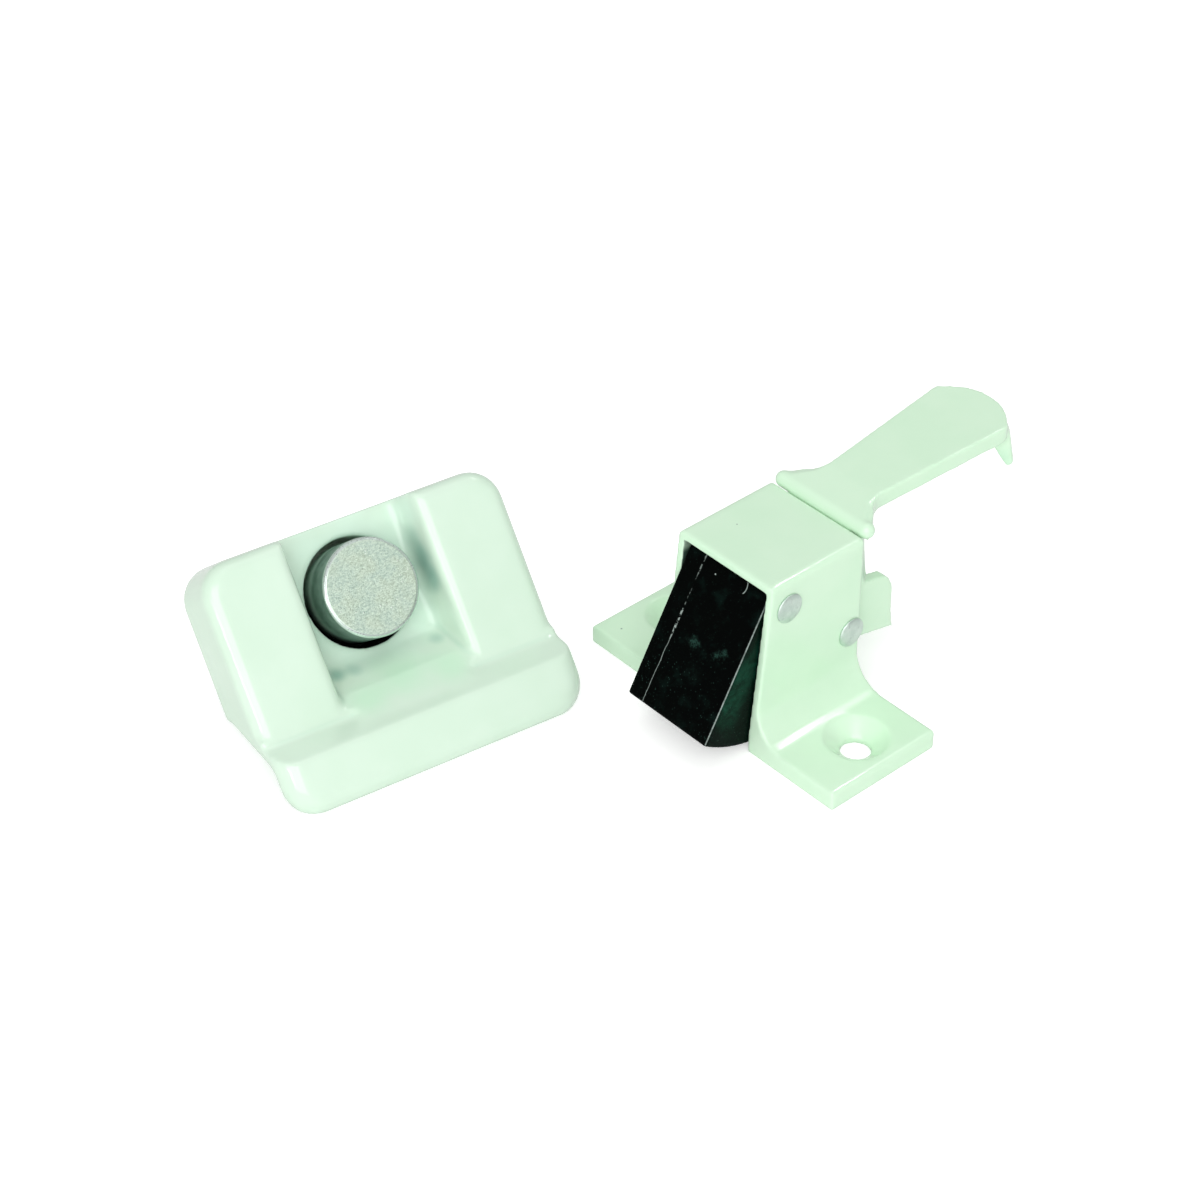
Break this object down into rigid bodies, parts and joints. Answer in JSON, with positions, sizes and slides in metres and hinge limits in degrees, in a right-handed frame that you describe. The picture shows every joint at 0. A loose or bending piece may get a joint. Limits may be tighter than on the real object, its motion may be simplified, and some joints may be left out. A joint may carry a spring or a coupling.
{
  "type": "screen door latch",
  "caption": "Through-the-door latch in two halves: an inner hood with wedge bolt and hand lever, and an outer pull housing with a push button.",
  "frame": {"origin": "midway between the inner base's two screw holes, on its underside", "axes": "+Z away from the door, +X along the inner base, +Y from the bolt's side to the handle"},
  "size_m": [0.095, 0.1285, 0.0359],
  "materials": {
    "mint_paint": "glossy pale mint paint on a zinc casting",
    "bolt_plastic": "black moulded plastic, lightly scuffed",
    "rivet_metal": "dull riveted pin heads",
    "dull_silver": "rough dull silver face with a bright bevel",
    "stem_metal": "turned rod",
    "spring_steel": "drawn spring wire"
  },
  "bodies": {
    "frame": {"latch_body": "mint_paint", "bolt_pin": "rivet_metal", "lever_pin": "rivet_metal", "outer_housing": "mint_paint"},
    "bolt": {"bolt": "bolt_plastic", "bolt_spring": "spring_steel"},
    "lever": {"lever": "mint_paint", "lever_spring": "spring_steel"},
    "button": {"push_button": "dull_silver", "push_stem": "stem_metal", "button_spring": "spring_steel", "stem_clip": "spring_steel"}
  },
  "joints": [
    {"name": "lever_hinge", "type": "hinge", "parent": "frame", "child": "lever", "pos_m": [0, 0.0084, 0.0143], "axis": [-1, 0, 0], "range_deg": [0, 25], "stiffness_Nm_per_rad": 0.05, "springref_deg": -28.65, "deforming": ["lever_spring"]},
    {"name": "bolt_hinge", "type": "hinge", "parent": "frame", "child": "bolt", "pos_m": [0, -0.00605, 0.02675], "axis": [1, 0, 0], "range_deg": [0, 25], "stiffness_Nm_per_rad": 0.03, "springref_deg": -28.65, "deforming": ["bolt_spring"]},
    {"name": "button_slide", "type": "slide", "parent": "frame", "child": "button", "axis": [-0.7579, 0.1173, -0.6417], "range_m": [0, 0.004], "stiffness_N_per_m": 300, "springref_m": -0.004, "deforming": ["button_spring"]}
  ],
  "couplings": [
    {"joint": "bolt_hinge", "follows": "lever_hinge", "ratio": 1}
  ]
}
